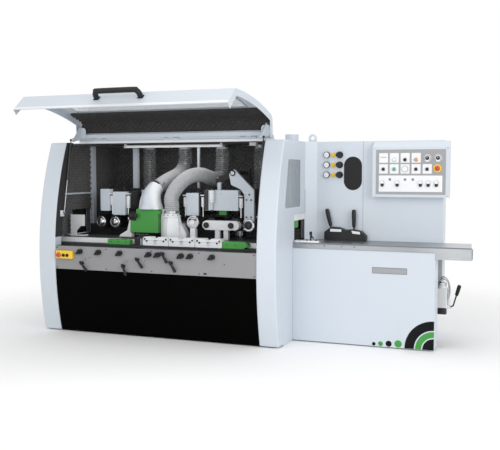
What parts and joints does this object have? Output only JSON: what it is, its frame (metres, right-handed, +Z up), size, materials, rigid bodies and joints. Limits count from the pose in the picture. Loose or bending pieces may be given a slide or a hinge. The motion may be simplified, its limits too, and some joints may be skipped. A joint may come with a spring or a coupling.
{
  "type": "four sided moulder",
  "caption": "Four sided moulder with an opened sound hood, cutter spindles, driven feed rollers, extraction hoses, adjusting panel, infeed table and control cabinet.",
  "frame": {"origin": "Middle of the overall length and of the depth from rim to rear sheet, on the floor.", "axes": "+X along the machine from outfeed to infeed, +Y to the rear, +Z up."},
  "size_m": [3.767, 2.0104, 2.1018],
  "materials": {
    "panel_paint": "light grey-blue powder coat",
    "grey_paint": "mid grey powder coat",
    "black_paint": "black powder coat",
    "white_paint": "white enamel",
    "green_paint": "green enamel",
    "yellow_paint": "yellow enamel",
    "steel": "ground steel",
    "cast": "painted casting",
    "foam": "convoluted sound foam",
    "hose": "translucent ribbed hose",
    "clear": "clear polycarbonate",
    "black_plastic": "black moulded plastic",
    "red_plastic": "red moulded plastic",
    "chrome_rod": "hard chrome"
  },
  "bodies": {
    "machine": {"base_frame": "panel_paint", "machine_bed": "cast", "bed_tables": "white_paint", "fence_rail": "cast", "left_end_panel": "panel_paint", "right_end_panel": "panel_paint", "enclosure_shell": "panel_paint", "sound_lining": "foam", "lower_front_panel": "black_paint", "adjuster_panel": "grey_paint", "side_window": "clear", "infeed_cabinet": "panel_paint", "control_cabinet": "panel_paint", "console_box": "panel_paint", "infeed_table": "steel", "lever_quadrant": "black_plastic", "pump_body": "white_paint", "extraction_hoses": "hose", "top_head_cover": "green_paint", "suction_ducts": "panel_paint", "side_head_hood": "white_paint", "feed_beam": "cast", "roller_housings": "panel_paint", "air_cylinders": "white_paint", "pressure_bar": "white_paint", "chip_guards": "green_paint", "work_lamp": "white_paint", "panel_instruments": "black_plastic", "estop_box": "yellow_paint", "spindle_motors": "cast", "position_indicators": "black_plastic"},
    "hood": {"hood_shell": "panel_paint", "hood_window": "clear", "hood_lining": "foam", "hood_handle": "black_plastic"},
    "rods": {"strut_rods": "chrome_rod"},
    "cylinders": {"strut_cylinders": "black_paint"},
    "bottom_head_1": {"bottom_spindle_1": "steel"},
    "right_head": {"right_spindle": "steel"},
    "left_head": {"left_spindle": "steel"},
    "top_head": {"top_spindle": "steel"},
    "bottom_head_2": {"bottom_spindle_2": "steel"},
    "feed_1": {"feed_roller_1": "steel"},
    "feed_2": {"feed_roller_2": "steel"},
    "feed_3": {"feed_roller_3": "steel"},
    "feed_4": {"feed_roller_4": "steel"},
    "feed_5": {"feed_roller_5": "steel"},
    "lever_1": {"table_lever": "black_plastic"},
    "lever_2": {"fence_lever": "black_plastic"},
    "pump_arm": {"pump_lever": "black_plastic"},
    "front_stop": {"front_estop": "red_plastic"},
    "console_stop": {"console_estop": "red_plastic"},
    "clamp_1": {"clamp_lever_1": "black_plastic"},
    "clamp_2": {"clamp_lever_2": "black_plastic"},
    "clamp_3": {"clamp_lever_3": "black_plastic"},
    "clamp_4": {"clamp_lever_4": "black_plastic"},
    "clamp_5": {"clamp_lever_5": "black_plastic"},
    "regulator_1": {"regulator_knob_1": "black_plastic"},
    "regulator_2": {"regulator_knob_2": "black_plastic"},
    "regulator_3": {"regulator_knob_3": "black_plastic"}
  },
  "joints": [
    {"name": "hood_hinge", "type": "hinge", "parent": "machine", "child": "hood", "pos_m": [0, -0.286, 1.748], "axis": [1, 0, 0], "range_deg": [0, 86]},
    {"name": "rod_swing", "type": "hinge", "parent": "machine", "child": "rods", "pos_m": [0, -0.57669, 1.08], "axis": [1, 0, 0], "range_deg": [-20, 1]},
    {"name": "cylinder_slide", "type": "slide", "parent": "rods", "child": "cylinders", "axis": [0, 0.1865, 0.9824], "range_m": [-0.1, 0.002]},
    {"name": "bottom_spin_1", "type": "hinge", "parent": "machine", "child": "bottom_head_1", "pos_m": [0.1565, -0.146, 0.792], "axis": [0, 1, 0], "continuous": true},
    {"name": "right_spin", "type": "hinge", "parent": "machine", "child": "right_head", "pos_m": [-0.2435, 0.141, 0.862], "axis": [0, 0, 1], "continuous": true},
    {"name": "left_spin", "type": "hinge", "parent": "machine", "child": "left_head", "pos_m": [-0.6985, -0.131, 0.862], "axis": [0, 0, 1], "continuous": true},
    {"name": "top_spin", "type": "hinge", "parent": "machine", "child": "top_head", "pos_m": [-1.0175, -0.146, 0.98], "axis": [0, 1, 0], "continuous": true},
    {"name": "bottom_spin_2", "type": "hinge", "parent": "machine", "child": "bottom_head_2", "pos_m": [-1.2435, -0.146, 0.792], "axis": [0, 1, 0], "continuous": true},
    {"name": "feed_spin_1", "type": "hinge", "parent": "machine", "child": "feed_1", "pos_m": [-1.5585, -0.161, 0.978], "axis": [0, 1, 0], "continuous": true},
    {"name": "feed_spin_2", "type": "hinge", "parent": "machine", "child": "feed_2", "pos_m": [-1.4055, -0.161, 0.978], "axis": [0, 1, 0], "continuous": true},
    {"name": "feed_spin_3", "type": "hinge", "parent": "machine", "child": "feed_3", "pos_m": [-0.4045, -0.161, 0.978], "axis": [0, 1, 0], "continuous": true},
    {"name": "feed_spin_4", "type": "hinge", "parent": "machine", "child": "feed_4", "pos_m": [-0.1675, -0.161, 0.978], "axis": [0, 1, 0], "continuous": true},
    {"name": "feed_spin_5", "type": "hinge", "parent": "machine", "child": "feed_5", "pos_m": [-0.0405, -0.161, 0.978], "axis": [0, 1, 0], "continuous": true},
    {"name": "table_lever_swing", "type": "hinge", "parent": "machine", "child": "lever_1", "pos_m": [0.6475, 0.107, 0.912], "axis": [0, 1, 0], "range_deg": [-20, 40]},
    {"name": "fence_lever_swing", "type": "hinge", "parent": "machine", "child": "lever_2", "pos_m": [0.8435, 0.107, 0.902], "axis": [0, 1, 0], "range_deg": [-30, 30]},
    {"name": "pump_lever_swing", "type": "hinge", "parent": "machine", "child": "pump_arm", "pos_m": [1.6795, 0.083, 0.316], "axis": [0, 1, 0], "range_deg": [-12, 40]},
    {"name": "front_estop_press", "type": "slide", "parent": "machine", "child": "front_stop", "axis": [0, 1, 0], "range_m": [0, 0.005], "stiffness_N_per_m": 400},
    {"name": "console_estop_press", "type": "slide", "parent": "machine", "child": "console_stop", "axis": [0, 1, 0], "range_m": [0, 0.005], "stiffness_N_per_m": 400},
    {"name": "clamp_turn_1", "type": "hinge", "parent": "machine", "child": "clamp_1", "pos_m": [-1.4265, -0.687, 0.641], "axis": [0, 1, 0], "range_deg": [-35, 35]},
    {"name": "clamp_turn_2", "type": "hinge", "parent": "machine", "child": "clamp_2", "pos_m": [-1.0045, -0.687, 0.632], "axis": [0, 1, 0], "range_deg": [-35, 35]},
    {"name": "clamp_turn_3", "type": "hinge", "parent": "machine", "child": "clamp_3", "pos_m": [-0.8645, -0.687, 0.694], "axis": [0, 1, 0], "range_deg": [-35, 35]},
    {"name": "clamp_turn_4", "type": "hinge", "parent": "machine", "child": "clamp_4", "pos_m": [-0.6205, -0.687, 0.752], "axis": [0, 1, 0], "range_deg": [-35, 35]},
    {"name": "clamp_turn_5", "type": "hinge", "parent": "machine", "child": "clamp_5", "pos_m": [-0.5415, -0.687, 0.678], "axis": [0, 1, 0], "range_deg": [-35, 35]},
    {"name": "regulator_turn_1", "type": "hinge", "parent": "machine", "child": "regulator_1", "pos_m": [0.7005, 0.137, 1.6], "axis": [0, 1, 0], "range_deg": [-140, 140]},
    {"name": "regulator_turn_2", "type": "hinge", "parent": "machine", "child": "regulator_2", "pos_m": [0.7005, 0.137, 1.512], "axis": [0, 1, 0], "range_deg": [-140, 140]},
    {"name": "regulator_turn_3", "type": "hinge", "parent": "machine", "child": "regulator_3", "pos_m": [0.7005, 0.137, 1.424], "axis": [0, 1, 0], "range_deg": [-140, 140]}
  ],
  "couplings": [
    {"joint": "rod_swing", "follows": "hood_hinge", "ratio": -0.21861},
    {"joint": "cylinder_slide", "follows": "hood_hinge", "m_per_rad": -0.06371},
    {"joint": "feed_spin_2", "follows": "feed_spin_1", "ratio": 1},
    {"joint": "feed_spin_3", "follows": "feed_spin_1", "ratio": 1},
    {"joint": "feed_spin_4", "follows": "feed_spin_1", "ratio": 1},
    {"joint": "feed_spin_5", "follows": "feed_spin_1", "ratio": 1}
  ]
}
